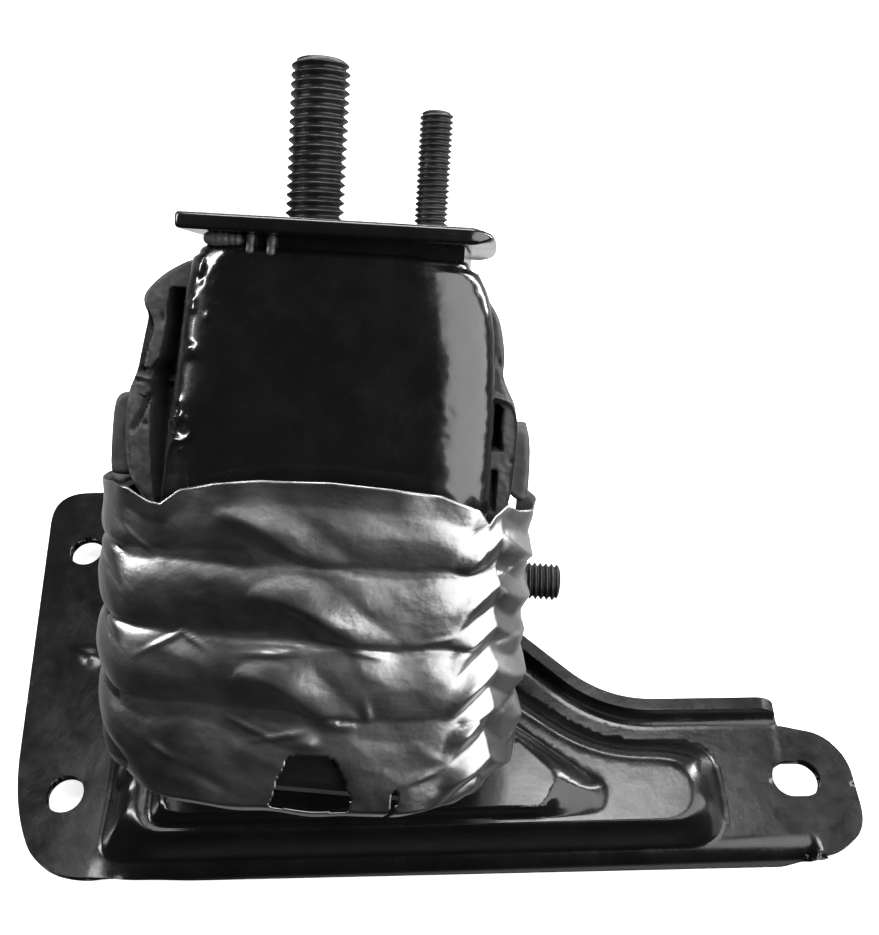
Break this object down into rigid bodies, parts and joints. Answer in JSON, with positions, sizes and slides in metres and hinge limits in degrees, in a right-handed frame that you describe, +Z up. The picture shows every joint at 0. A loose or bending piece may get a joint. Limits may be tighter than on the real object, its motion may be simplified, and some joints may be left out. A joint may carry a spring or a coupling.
{
  "type": "engine mount",
  "caption": "Rubber engine mount with a foil heat shield, leaning on a stamped bracket plate with bolt holes and threaded studs.",
  "frame": {"origin": "centre of the round bolt hole at the front of the ear, on the mounting face under the base plate", "axes": "+Z up, square to the base plate; +X along the arm towards the slotted lobe; +Y towards the back, where the body leans"},
  "size_m": [0.245, 0.1448, 0.1727],
  "materials": {
    "black_paint": "gloss black paint with scuffs",
    "dark_paint": "satin black paint",
    "weld": "painted weld metal",
    "rubber": "matt moulded rubber",
    "steel": "dark oiled steel thread",
    "foil": "crinkled bright foil"
  },
  "bodies": {
    "root": {"base_plate": "black_paint", "cheek_left": "dark_paint", "cheek_right": "dark_paint", "saddle_seat": "dark_paint", "gusset_left": "dark_paint", "gusset_right": "dark_paint", "lower_housing": "dark_paint", "base_rubber": "rubber", "main_rubber": "rubber", "core_block": "steel", "bump_stop_left": "rubber", "bump_stop_right": "rubber", "stirrup": "black_paint", "crown_plate": "black_paint", "top_plate": "black_paint", "main_stud": "steel", "locating_stud": "steel", "side_stud": "steel", "crown_weld": "weld", "crown_tacks": "weld", "cheek_weld_left": "weld", "cheek_weld_right": "weld", "gusset_weld_left": "weld", "gusset_weld_right": "weld", "seat_weld": "weld", "heat_shield": "foil"}
  },
  "joints": []
}
